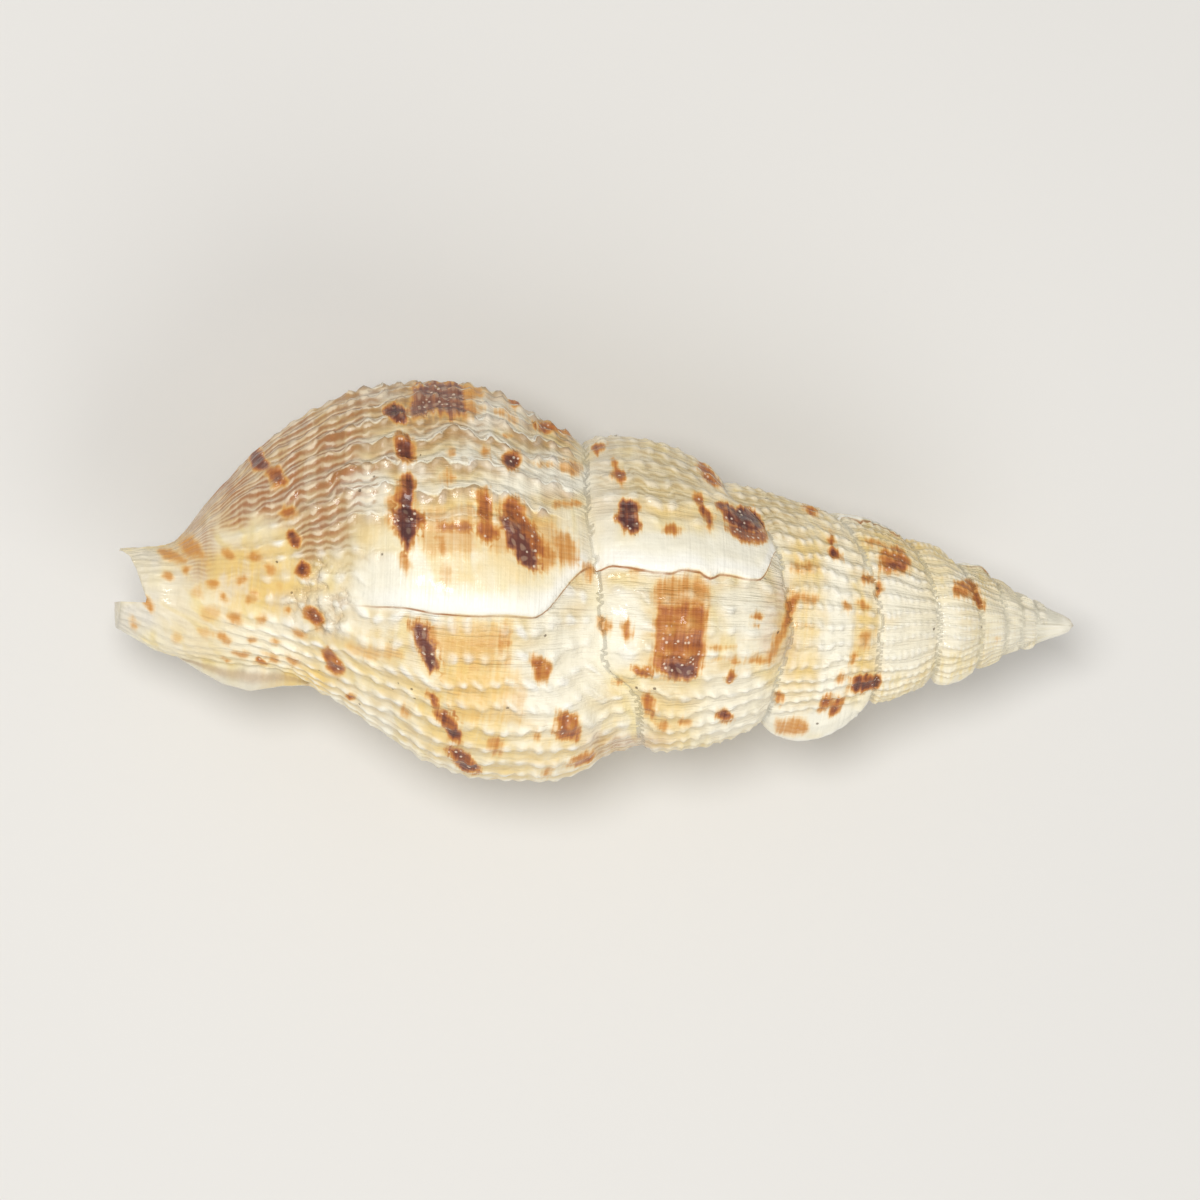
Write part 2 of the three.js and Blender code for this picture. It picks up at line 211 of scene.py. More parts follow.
def sculpture(turn, v, down, body, face, shield):
    """Riblets, cords and beads. Gives the height, and what the colours and the fine relief follow."""
    width = np.where(body, 9.0, np.maximum(0.4, suture_down(turn + 360) - suture_down(turn)))
    size = np.clip(width / 7, 0.12, 1)
    still = turn * 0
    wander = 0.34 * noise(down * 0.35, turn / 26, still, 1) + 0.17 * noise(down * 0.9, turn / 12, still, 2)
    rib_phase = turn * RIBLETS / 360 + wander
    turned_rib = 2 * np.pi * rib_phase
    rib = 0.5 + 0.5 * np.cos(turned_rib + 0.5 * np.sin(turned_rib))
    along = np.where(body, (down - suture_down(turn)) / BODY_CORD, v * SPIRE_CORDS)
    cord_phase = along + 0.16 * noise(turn / 9, down, still, 3)
    cord = 0.5 + 0.5 * np.cos(2 * np.pi * cord_phase)
    calm = (1 - 0.85 * face) * (1 - shield)
    fade = np.where(body, 1 - 0.8 * smooth(v, 0.62, 0.85), 1 - 0.6 * smooth(v, 0.93, 1.0))
    edge = smooth(v, 0.0, 0.05) * fade
    uneven = 0.65 + 0.5 * noise(down * 0.55, turn / 8, still, 7)
    bead = rib**1.2 * cord**1.5 * np.clip(uneven, 0.15, 1.2)
    bold = 1 + 0.7 * body * smooth(turn, 0, 40) * (1 - smooth(v, 0.5, 0.75))
    up = (0.22 * (rib - 0.5) * (0.6 + 0.5 * uneven) + 0.05 * (cord - 0.5) + 0.24 * (bead - 0.2)) * bold
    up = up * calm * edge * size
    rough = 0.06 * noise(down * 1.9, turn / 3.4, still, 4) + 0.03 * noise(down * 4.2, turn / 1.6, still, 6)
    up = up + rough * size * (0.5 + 0.5 * calm)
    knobs = 0.34 * noise(down * 0.85, turn / 16, still, 9) * (1 - smooth(down, 11, 18)) * smooth(down, 1, 3)
    up = up + knobs * np.sqrt(np.clip(4 * v * (1 - v), 0, 1))
    lamina_phase = 3 * rib_phase + 0.32 * cord * uneven
    return up, {"live": calm * edge, "bold": bold - 1, "size": size,
                "rib_phase": rib_phase, "cord_phase": cord_phase, "lamina_phase": lamina_phase}


def surface(turn, v, body):
    """Radius and looks of the outer surface. body says which points are on the last whorl."""
    down = np.where(body, suture_down(turn) + v * (LENGTH - suture_down(turn)),
                    suture_down(turn) + v * (suture_down(turn + 360) - suture_down(turn)))
    rs, fs, cs, past_s = spire_mean(turn, np.where(body, 0.5, v))
    rb, fb, cb, past_b, reach, shield = body_mean(turn, np.where(body, v, 0.5))
    r = np.where(body, rb, rs)
    face, crowd = np.where(body, fb, fs), np.where(body, cb, cs)
    shield = np.where(body, shield, 0)
    up, relief = sculpture(turn, v, down, body, face, shield)
    at_edge = (v <= 0) | (~body & (v >= 1))
    r = r + np.where(at_edge, 0, up)
    return down, r, {"face": face, "crowd": crowd, "past": np.where(body, past_b, past_s),
                     "reach": np.where(body, reach, 1.0), "shield": shield, **relief}


# Points of the strip, one column after another. FINE is their distance along a column of the spire
FINE, BODY_ROWS = 0.3, 120
step = 360 / COLUMNS
last = round(TURNS * SOLID_COLUMNS) * (COLUMNS // SOLID_COLUMNS)
turns = LIP - (last - np.arange(last + 1)) * step
sut_down = suture_down(turns)
lip_down = float(suture_down(LIP))
t_list = list(turns)
v_list = [0.0] * (last + 1)
body_list = [turns[k] >= FIRST_BODY for k in range(last + 1)]
columns = []
down_of = list(sut_down)
for k in range(last + 1):
    t, a = turns[k], sut_down[k]
    column = [k]
    if k < last - COLUMNS:
        b = sut_down[k + COLUMNS]
        n = max(4, round((b - a) / FINE))
        for j in range(1, n):
            column.append(len(t_list))
            t_list.append(t)
            v_list.append(j / n)
            body_list.append(False)
            down_of.append(a + (b - a) * j / n)
        column.append(k + COLUMNS)
    else:
        joined = False
        for j in range(1, BODY_ROWS + 1):
            v = j / BODY_ROWS
            d = a + (LENGTH - a) * v
            if k == last - COLUMNS:
                if not joined and d >= lip_down - 0.15:
                    column.append(last)
                    joined = True
                if abs(d - lip_down) < 0.16:
                    continue
            column.append(len(t_list))
            t_list.append(t)
            v_list.append(v)
            body_list.append(True)
            down_of.append(d)
    columns.append(column)
T, V, B = np.array(t_list), np.array(v_list), np.array(body_list)
down, radius, looks = surface(T, V, B)
radius[:last + 1] = suture_radius(sut_down)
radius[(V == 0)] = suture_radius(down[V == 0])


def place(turn, down, r):
    a = np.radians(turn)
    return np.stack([LENGTH - down, r * np.sin(a), r * np.cos(a)], -1)


points = place(T, down, radius)
faces = []


def zip_columns(a, b):
    """The triangles between two columns of points."""
    i = j = 0
    n, m = len(a) - 1, len(b) - 1
    a0, a1 = down_of[a[0]], down_of[a[-1]]
    b0, b1 = down_of[b[0]], down_of[b[-1]]
    while i < n or j < m:
        pa = (down_of[a[i + 1]] - a0) / (a1 - a0) if i < n else 2
        pb = (down_of[b[j + 1]] - b0) / (b1 - b0) if j < m else 2
        if i < n and pa <= pb:
            if a[i] != b[j] and a[i + 1] != b[j]:
                faces.append((a[i], b[j], a[i + 1]))
            i += 1
        else:
            if a[i] != b[j] and a[i] != b[j + 1]:
                faces.append((a[i], b[j], b[j + 1]))
            j += 1


inner = columns[last - COLUMNS]
cut = inner.index(last)
for k in range(last):
    zip_columns(columns[k], inner[:cut + 1] if k == last - COLUMNS - 1 else columns[k + 1])
zip_columns(columns[last], inner[cut:])
extra = [place(0.0, LENGTH + 0.05, 0.0), place(0.0, 0.0, 0.0)]
tip, pole = len(points), len(points) + 1
for k in range(last - COLUMNS, last + 1):
    n = last - COLUMNS if k == last else k + 1
    faces.append((tip, columns[k][-1], columns[n][-1]))
rim = list(range(COLUMNS + 1)) + columns[0][1:-1][::-1]
rings = [rim]
APEX_RINGS = (0.7, 0.4, 0.15)
for part in APEX_RINGS:
    ring = []
    for i in rim:
        d = down_of[i] * part
        ring.append(len(points) + len(extra))
        extra.append(place(t_list[i], d, float(suture_radius(d))))
    rings.append(ring)
for outer, ring in zip(rings, rings[1:]):
    for i in range(len(rim)):
        n = (i + 1) % len(rim)
        faces += [(ring[i], outer[n], outer[i]), (ring[i], ring[n], outer[n])]
for i in range(len(rim)):
    faces.append((pole, rings[-1][(i + 1) % len(rim)], rings[-1][i]))
points = np.vstack([points, np.array(extra)])


def add_object(name, data):
    thing = bpy.data.objects.new(name, data)
    bpy.context.scene.collection.objects.link(thing)
    return thing


def add_mesh(name, verts, tris):
    mesh = bpy.data.meshes.new(name)
    mesh.from_pydata([tuple(map(float, p)) for p in verts], [], [tuple(map(int, f)) for f in tris])
    mesh.update()
    return add_object(name, mesh)


# Cutters: the hollow behind the aperture, the canal and the notch of the tip
hollow_points, hollow_faces, sections = [], [], 0
SIDE = 28
for t in np.arange(LIP + HOLLOW_LEAD, LIP - HOLLOW_TURN - 1, -HOLLOW_STEP):
    back = float(np.clip((LIP - t) / HOLLOW_TURN, 0, 1))
    at = min(t, LIP)
    sd = float(suture_down(at))
    a, b = sd + 1.2 + 3 * back, HOLLOW_FOOT - 5 * back
    thick = LIP_WALL + 1.2 * smooth(back, 0, 0.5)
    gap = 0.1 + 1.4 * smooth(back, 0, 0.4)
    s = (np.arange(SIDE) + 0.5) / SIDE
    d = a + (b - a) * s
    v = np.clip((d - sd) / (LENGTH - sd), 0, 1)
    first = float(suture_down(FIRST_BODY))
    v0 = np.clip((d - first) / (LENGTH - first), 0, 1)
    ro = body_mean(np.full(SIDE, at), v)[0] - thick
    ri = np.maximum(1.2, inner_of(v0) * LIP_GROWTH ** (-6 * back)) + gap
    mid = (ro + ri) / 2
    half = np.maximum(0.35, (ro - ri) / 2 * (1 - 0.62 * back) * (1 - np.abs(2 * s - 1) ** 7))
    loop = np.vstack([place(t, d, mid + half), place(t, d, mid - half)[::-1]])
    hollow_points.append(loop)
    sections += 1
around = 2 * SIDE
for i in range(sections - 1):
    for j in range(around):
        n, p, q = (j + 1) % around, i * around, (i + 1) * around
        hollow_faces += [(p + j, p + n, q + j), (p + n, q + n, q + j)]
end = (sections - 1) * around
for j in range(1, around - 1):
    hollow_faces += [(0, j + 1, j), (end, end + j, end + j + 1)]


def hull(name, pts):
    bm = bmesh.new()
    for p in pts:
        bm.verts.new(p)
    got = bmesh.ops.convex_hull(bm, input=bm.verts)
    loose = {part for key in ("geom_interior", "geom_unused") for part in got[key]
             if isinstance(part, bmesh.types.BMVert)}
    bmesh.ops.delete(bm, geom=list(loose), context="VERTS")
    bmesh.ops.triangulate(bm, faces=bm.faces)
    mesh = bpy.data.meshes.new(name)
    bm.to_mesh(mesh)
    bm.free()
    return add_object(name, mesh)


BALL_ROUND, BALL_DOWN = 12, 8


def ball_stop(d, y, z):
    """The points of a ball on the canal's line, and the same points far below it."""
    out = []
    for i in range(BALL_ROUND):
        for j in range(1, BALL_DOWN):
            a, b = 2 * math.pi * i / BALL_ROUND, math.pi * j / BALL_DOWN
            p = np.array([math.sin(b) * math.cos(a), math.sin(b) * math.sin(a), math.cos(b)])
            p = p * CANAL_WIDTH / 2 + [LENGTH - d, y, z]
            out += [tuple(p), tuple(p + [-0.5, 2, -9])]
    return out


cutters = [add_mesh("hollow", np.vstack(hollow_points), hollow_faces)]
for i in range(len(CANAL) - 1):
    cutters.append(hull("canal_%d" % i, ball_stop(*CANAL[i]) + ball_stop(*CANAL[i + 1])))
n = len(TIP_NOTCH)
ring = [(LENGTH - d - TIP_UNDERCUT * z, y, z) for z in (-20, 20) for d, y in TIP_NOTCH]
sides = [(i, (i + 1) % n + n, (i + 1) % n) for i in range(n)]
sides += [(i, i + n, (i + 1) % n + n) for i in range(n)]
caps = [(0, i, i + 1) for i in range(1, n - 1)] + [(n, n + i + 1, n + i) for i in range(1, n - 1)]
cutters.append(add_mesh("notch", ring, sides + caps))


def turned(p):
    """Rolled a little, so that lip and belly touch the ground."""
    a = math.radians(REST_ROLL)
    p = np.array(p, float)
    return np.stack([p[..., 0], p[..., 1] * math.cos(a) - p[..., 2] * math.sin(a),
                     p[..., 1] * math.sin(a) + p[..., 2] * math.cos(a)], -1)


shell = add_mesh("shell_piece", points, faces)
for i, c in enumerate(cutters):
    bpy.context.view_layer.update()
    m = shell.modifiers.new("cut_%d" % i, "BOOLEAN")
    m.operation, m.object, m.solver = "DIFFERENCE", c, "MANIFOLD"
bpy.context.view_layer.update()
deps = bpy.context.evaluated_depsgraph_get()
cut_mesh = bpy.data.meshes.new_from_object(shell.evaluated_get(deps))
for thing in [shell] + cutters:
    bpy.data.objects.remove(thing, do_unlink=True)

# Where each point of the cut solid lies on the shell
count = len(cut_mesh.vertices)
flat = np.empty(count * 3)
cut_mesh.vertices.foreach_get("co", flat)
P = flat.reshape(-1, 3)
angle = np.degrees(np.arctan2(P[:, 1], P[:, 2]))
D = LENGTH - P[:, 0]
R = np.hypot(P[:, 1], P[:, 2])
turn = angle + 360 * np.floor((LIP + 0.01 - angle) / 360)
v_at = np.zeros(count)
on_body = np.ones(count, bool)
open_still = np.ones(count, bool)
for lap in range(10):
    here = suture_down(turn)
    if lap == 0:
        on_body = D >= here
        open_still = ~on_body
        v_at = np.clip((D - here) / (LENGTH - here), 0, 1)
    else:
        nxt = suture_down(turn + 360)
        got = open_still & ((D >= here) | (turn < LIP - 360 * (TURNS - 1)))
        v_at[got] = np.clip((D[got] - here[got]) / (nxt[got] - here[got]), 0, 1)
        open_still = open_still & ~got
    turn = np.where(open_still, turn - 360, turn)
_, r_here, looks = surface(turn, v_at, on_body)
inside = smooth(r_here - R, 0.25, 0.5)
inside = np.where(D > TIP_START, inside * TIP_INSIDE, inside)

# Into the part's own frame, lying on its aperture. The spots it rests on become small flats
MOVE = np.array([-39.988, -0.993, 14.325])
AXIS_Y, AXIS_Z = MOVE[1], MOVE[2]
Q = turned(P) + MOVE
low, high = (np.array(c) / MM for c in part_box("shell"))
Q[:, 2] = np.maximum(Q[:, 2], low[2])
Q = np.clip(Q, low, high)
cut_mesh.vertices.foreach_set("co", (Q * MM).ravel())
cut_mesh.update()
normals = np.empty(count * 3)
cut_mesh.vertices.foreach_get("normal", normals)
normals = normals.reshape(-1, 3)

# The photograph looks square at the back of the shell, a little from the canal end
TILT = math.radians(8)
SHELL_PIXELS, FRAME_PIXELS = 956, 1200
PER_PIXEL = LENGTH / SHELL_PIXELS
MIDDLE = FRAME_PIXELS / 2
APEX_X, APEX_Y, AXIS_SLOPE = 1078, 625, 0.054
to_camera = np.array([-math.sin(TILT), 0, math.cos(TILT)])
u = Q[:, 0] * math.cos(TILT) + (Q[:, 2] - AXIS_Z) * math.sin(TILT)
pic_x = MIDDLE + u / PER_PIXEL / math.cos(TILT)
pic_y = APEX_Y - AXIS_SLOPE * (APEX_X - pic_x) - (Q[:, 1] - AXIS_Y) / PER_PIXEL
facing = smooth(normals @ to_camera, 0.0, 0.12) * (1 - inside)

# Marks of the back: name, left, right, top and foot in the picture, shift of the foot to the right, tone
MARKS = [
    ("shoulder_band", 402, 455, 382, 420, 6, "dusky"),
    ("shoulder_band_halo", 448, 466, 383, 424, 6, "ochre"),
    ("shoulder_core", 380, 400, 408, 426, 6, "dark"), ("shoulder_foot", 392, 411, 438, 462, 8, "brown"),
    ("back_head", 396, 413, 479, 512, 3, "brown"), ("back_core", 400, 416, 506, 546, 4, "dark"),
    ("back_foot", 402, 412, 545, 574, 6, "ochre"), ("back_left", 388, 398, 492, 530, 4, "ochre"),
    ("back_red", 416, 425, 516, 530, 0, "rust"), ("left_low", 423, 438, 618, 667, 20, "plum"),
    ("left_low_halo", 434, 446, 618, 650, 16, "ochre"),
    ("left_lower_head", 439, 446, 688, 708, 8, "brown"), ("left_lower", 451, 466, 705, 738, 16, "brown"),
    ("left_foot", 464, 484, 747, 768, 16, "brown"), ("top_ochre_1", 460, 476, 388, 402, 4, "ochre"),
    ("top_ochre_2", 470, 478, 410, 419, 2, "ochre"), ("top_ochre_3", 487, 502, 409, 420, 3, "ochre"),
    ("top_ochre_4", 501, 510, 413, 427, 3, "ochre"), ("top_edge_1", 496, 512, 397, 407, 8, "rust"),
    ("top_edge_2", 526, 560, 423, 436, 14, "rust"), ("top_ochre_5", 488, 506, 434, 440, 3, "ochre"),
    ("right_rust", 498, 515, 456, 472, 3, "brown"), ("small_ochre", 474, 486, 449, 464, 3, "ochre"),
    ("faint_knob", 439, 449, 451, 462, 2, "ochre"), ("faint_1", 440, 450, 466, 493, 1, "ochre"),
    ("mid_rust", 476, 492, 490, 543, 6, "rust"), ("faint_line", 438, 470, 521, 533, 0, "plum_faint"),
    ("wide_head", 503, 523, 500, 524, 6, "rust"), ("wide_plum", 510, 528, 517, 572, 30, "plum"),
    ("wide_halo", 519, 537, 512, 560, 24, "rust"), ("wide_orange", 530, 552, 540, 572, 6, "ochre"),
    ("wide_tail", 552, 575, 533, 566, 4, "ochre"), ("wide_line", 545, 578, 502, 508, 2, "ochre"),
    ("streak_top", 549, 574, 462, 478, 8, "ochre"), ("streak_top_2", 525, 545, 461, 467, 4, "ochre"),
    ("near_suture", 580, 594, 562, 580, 2, "ochre"), ("low_rust_1", 537, 554, 651, 680, 4, "ochre_deep"),
    ("low_rust_2", 562, 587, 708, 735, 2, "rust"), ("low_edge_1", 580, 600, 748, 764, -14, "ochre_deep"),
    ("low_edge_2", 552, 564, 764, 774, -8, "ochre"), ("faint_2", 440, 456, 560, 590, 4, "faint"),
    ("pale_patch", 440, 516, 617, 668, 6, "faint"), ("pale_patch_2", 452, 532, 664, 722, 8, "peach"),
    ("strip_1", 504, 514, 617, 656, 1, "ochre"), ("strip_2", 498, 513, 731, 752, 1, "ochre"),
    ("strip_3", 542, 552, 724, 739, 2, "ochre"), ("small_low", 407, 418, 698, 714, 3, "ochre"),
    ("face_amber_1", 424, 476, 506, 560, 4, "faint"), ("face_amber_2", 486, 510, 520, 556, 4, "faint"),
    ("face_amber_3", 532, 556, 520, 552, 4, "faint"), ("face_amber_4", 438, 452, 536, 560, 2, "ochre"),
    ("left_soft", 384, 396, 644, 655, 1, "faint"), ("left_tan", 352, 412, 640, 656, 3, "faint"),
    ("keel_1", 244, 262, 449, 470, 8, "brown"), ("keel_2", 264, 284, 467, 487, 8, "brown_soft"),
    ("keel_3", 282, 296, 508, 520, 2, "ochre_deep"), ("keel_4", 290, 303, 531, 547, 2, "brown"),
    ("keel_5", 304, 314, 560, 580, 3, "brown"), ("keel_6", 313, 328, 604, 628, 10, "brown_soft"),
    ("keel_7", 331, 348, 647, 674, 14, "brown_soft"), ("keel_8", 353, 361, 688, 700, 4, "rust"),
    ("base_1", 212, 227, 577, 588, 2, "ochre"), ("base_2", 223, 234, 591, 602, 2, "ochre"),
    ("base_3", 242, 253, 575, 586, -4, "ochre"), ("base_4", 254, 264, 588, 604, -2, "ochre"),
    ("base_5", 235, 251, 609, 623, 3, "ochre"), ("base_6", 264, 277, 613, 623, 2, "ochre"),
    ("base_7", 226, 239, 630, 641, 2, "ochre"), ("base_8", 254, 267, 634, 643, 4, "ochre"),
    ("base_9", 240, 255, 646, 654, 5, "ochre"), ("base_10", 273, 288, 651, 660, 6, "ochre"),
    ("base_11", 296, 311, 655, 666, 8, "ochre"), ("base_12", 283, 292, 581, 593, 2, "faint"),
    ("base_13", 290, 300, 603, 617, 0, "ochre"), ("base_14", 206, 226, 602, 620, 6, "faint"),
    ("base_15", 205, 222, 625, 638, 6, "faint"), ("base_16", 278, 290, 636, 645, 4, "ochre"),
    ("base_17", 302, 315, 626, 638, 8, "ochre"), ("base_18", 226, 240, 546, 562, 6, "ochre"),
    ("base_19", 229, 240, 654, 662, 4, "ochre"), ("base_20", 262, 272, 656, 663, 4, "rust"),
    ("base_21", 178, 188, 626, 645, 2, "faint"), ("base_22", 196, 210, 584, 598, 4, "faint"),
    ("base_23", 252, 268, 548, 562, 3, "ochre"), ("base_24", 268, 282, 562, 576, 3, "ochre"),
    ("canal_brown", 163, 186, 548, 562, 16, "ochre"), ("canal_brown_2", 184, 208, 533, 562, 20, "ochre"),
    ("canal_brown_3", 166, 178, 568, 582, 6, "ochre"), ("canal_brown_4", 184, 198, 563, 574, 6, "ochre"),
    ("canal_notch", 152, 163, 597, 612, 6, "ochre"), ("prong_line", 137, 143, 612, 630, 3, "ochre"),
    ("second_suture", 582, 598, 445, 456, -4, "rust"), ("second_1", 603, 612, 462, 472, 2, "rust"),
    ("second_1b", 605, 618, 472, 486, 4, "rust"), ("second_dark", 614, 633, 502, 531, 3, "dark"),
    ("second_dark_halo", 613, 634, 502, 533, 3, "rust"),
    ("second_ochre", 660, 674, 525, 538, 2, "ochre_deep"),
    ("second_brown_head", 688, 699, 493, 508, 6, "ochre_deep"),
    ("second_brown", 698, 706, 506, 532, 6, "brown"),
    ("second_patch_head", 713, 724, 505, 514, 4, "brown"),
    ("second_patch", 720, 756, 511, 529, 8, "dark"),
    ("second_patch_foot", 726, 760, 527, 542, 10, "brown_soft"),
    ("second_rim", 697, 712, 463, 489, 18, "rust"), ("second_orange", 652, 708, 574, 672, 2, "ochre"),
    ("second_orange_low", 655, 706, 600, 672, 2, "ochre_deep"),
    ("second_orange_red", 660, 705, 625, 674, 2, "rust"),
    ("second_orange_dark", 662, 703, 645, 676, 2, "brown_soft"),
    ("second_orange_foot", 666, 700, 660, 676, 2, "plum"), ("second_step", 631, 656, 662, 673, 4, "rust"),
    ("second_strip", 623, 633, 616, 638, 1, "ochre_deep"), ("second_dot", 598, 613, 617, 632, 3, "ochre"),
    ("second_streak_1", 771, 781, 616, 662, -16, "ochre"),
    ("second_streak_2", 780, 790, 590, 640, -12, "ochre_deep"),
    ("second_streak_3", 748, 776, 652, 660, 0, "ochre"),
    ("second_dot_2", 751, 760, 612, 620, 3, "ochre_deep"),
    ("second_dot_3", 750, 757, 624, 629, 1, "ochre_deep"),
    ("second_dot_4", 728, 738, 669, 678, 0, "brown"), ("second_low", 721, 735, 705, 720, 2, "brown"),
    ("second_low_2", 645, 660, 688, 713, 6, "ochre_deep"),
    ("second_edge", 780, 789, 689, 705, 2, "ochre_deep"),
    ("second_dot_5", 616, 627, 676, 684, 1, "ochre"), ("second_dot_6", 629, 640, 569, 576, 0, "ochre"),
    ("second_low_3", 660, 673, 714, 728, 2, "ochre"), ("second_low_4", 683, 699, 715, 725, 2, "ochre"),
    ("second_line_1", 708, 736, 644, 649, 2, "ochre"), ("second_line_2", 712, 742, 655, 660, 2, "ochre"),
    ("third_top", 799, 812, 504, 516, 6, "rust"), ("third_diagonal", 821, 828, 530, 545, 4, "rust"),
    ("third_diagonal_2", 824, 834, 544, 558, 8, "brown"),
    ("third_band_1", 784, 817, 562, 572, 1, "ochre"), ("third_band_2", 789, 817, 592, 602, 1, "ochre"),
    ("third_band_3", 790, 814, 620, 628, 1, "faint"), ("third_rust", 855, 868, 572, 583, 2, "ochre_deep"),
    ("fourth_block", 877, 905, 547, 573, 3, "ochre_deep"),
    ("fourth_block_core", 881, 902, 558, 571, 3, "brown_soft"),
    ("fourth_rust", 858, 880, 540, 548, 2, "ochre"), ("fourth_line", 872, 877, 575, 597, 2, "rust"),
    ("third_dot", 841, 848, 602, 614, 1, "ochre_deep"), ("third_dot_2", 852, 868, 600, 611, 2, "ochre"),
    ("third_dark", 855, 880, 674, 690, -10, "brown"), ("third_dark_2", 837, 848, 694, 712, -6, "rust"),
    ("third_low", 824, 838, 692, 708, -6, "rust"), ("flange_ochre", 779, 814, 717, 735, 0, "ochre"),
    ("third_small", 852, 860, 650, 664, -2, "ochre_deep"),
    ("third_small_2", 857, 874, 626, 650, -8, "ochre"),
    ("third_small_3", 840, 850, 666, 684, -4, "ochre"),
    ("sixth_top", 950, 976, 580, 596, 4, "ochre_deep"), ("sixth_dark", 972, 982, 588, 612, 8, "rust"),
    ("fifth_dot", 998, 1006, 635, 644, 0, "faint"),
]
# Depth of the stain and how far it turns to purple
TONES = {
    "peach": (0.24, 0), "faint": (0.29, 0), "ochre": (0.4, 0), "ochre_deep": (0.56, 0), "rust": (0.66, 0),
    "brown_soft": (0.7, 0.15), "brown": (0.84, 0.1), "plum_faint": (0.5, 0.5), "dusky": (0.66, 1.0),
    "plum": (0.84, 0.7), "dark": (1.0, 0.4),
}
# How far a mark fades, how much it spreads, and the range kept of the turn past a varix
FADE_ACROSS, FADE_ALONG = 6.5, 12.0
SPREAD = 1.4
PAST_RANGE = 40.0
near_mark, peak_here, purple = np.zeros(count), np.zeros(count), np.zeros(count)
still = pic_x * 0
bent_x = pic_x + 3.4 * noise(pic_x / 15, pic_y / 13, still, 11)
bent_x = bent_x + 1.6 * noise(pic_x / 6, pic_y / 5, still, 12)
bent_y = pic_y + 3.2 * noise(pic_x / 14, pic_y / 15, still, 15)
bent_y = bent_y + 1.8 * noise(pic_x / 5, pic_y / 7, still, 16)


def put_mark(where, near, tone):
    """Lets the stronger of the mark and of what is there already stand."""
    peak, tint = TONES[tone]
    wins = near * peak > near_mark[where] * peak_here[where]
    near_mark[where] = np.where(wins, near, near_mark[where])
    peak_here[where] = np.where(wins, peak, peak_here[where])
    purple[where] = np.where(wins, tint, purple[where])


for name, left, right, top, foot, lean, tone in MARKS:
    cx, cy, hx, hy = (left + right) / 2, (top + foot) / 2, (right - left) / 2, (foot - top) / 2
    past_x = np.abs(bent_x - cx - lean * np.clip((pic_y - cy) / (2 * hy), -0.8, 0.8)) - hx - SPREAD
    past_y = np.abs(bent_y - cy) - hy - SPREAD
    along = min(FADE_ALONG, 4 + 0.4 * hy)
    near = np.clip(0.5 - past_x / (2 * FADE_ACROSS), 0, 1) * np.clip(0.5 - past_y / (2 * along), 0, 1)
    put_mark(slice(None), near * facing, tone)

# The sides the photograph doesn't show carry marks of the same kind, in the same bands round the whorls
random = np.random.default_rng(41)
hidden = (1 - smooth(normals @ to_camera, -0.05, 0.12)) * (1 - inside) * (1 - looks["shield"])
ROWS = [(0.10, 1.6), (0.27, 2.2), (0.47, 1.2), (0.62, 0.9)]
spots = []
for row, size in ROWS:
    at = FIRST_BODY + random.uniform(0, 20)
    while at < LIP:
        wide, long = size * random.uniform(0.5, 1.3), size * random.uniform(0.8, 2.2)
        spots.append((True, at, row + random.uniform(-0.03, 0.03), wide, long))
        at += random.uniform(18, 42)
for row in (0.22, 0.68):
    at = LIP - 360 * (TURNS - 1.5)
    while at < FIRST_BODY:
        w = float(suture_down(at + 360) - suture_down(at))
        wide, long = w * random.uniform(0.06, 0.16), w * random.uniform(0.1, 0.28)
        spots.append((False, at, row + random.uniform(-0.08, 0.08), wide, long))
        at += random.uniform(25, 60)
tones = ["faint", "ochre", "ochre", "ochre_deep", "rust", "brown_soft", "brown", "plum"]
for body, at, row, wide, long in spots:
    tone_here = tones[random.integers(len(tones))]
    near = (on_body == body) & (np.abs(turn - at) < 40) & (hidden > 0.01)
    if not near.any():
        continue
    d0 = suture_down(at) + row * ((LENGTH if body else suture_down(at + 360)) - suture_down(at))
    ragged = noise(D[near] * 1.3, turn[near] / 5, D[near] * 0, 13)
    past_x = np.abs(D[near] - d0 - 0.03 * (turn[near] - at) + 0.3 * ragged) - wide / 2
    past_y = np.abs(np.radians(turn[near] - at) * r_here[near] + 0.4 * ragged) - long / 2
    close = np.clip(0.5 - past_x / 0.8, 0, 1) * np.clip(0.5 - past_y / 1.2, 0, 1)
    put_mark(near, close * hidden[near], tone_here)

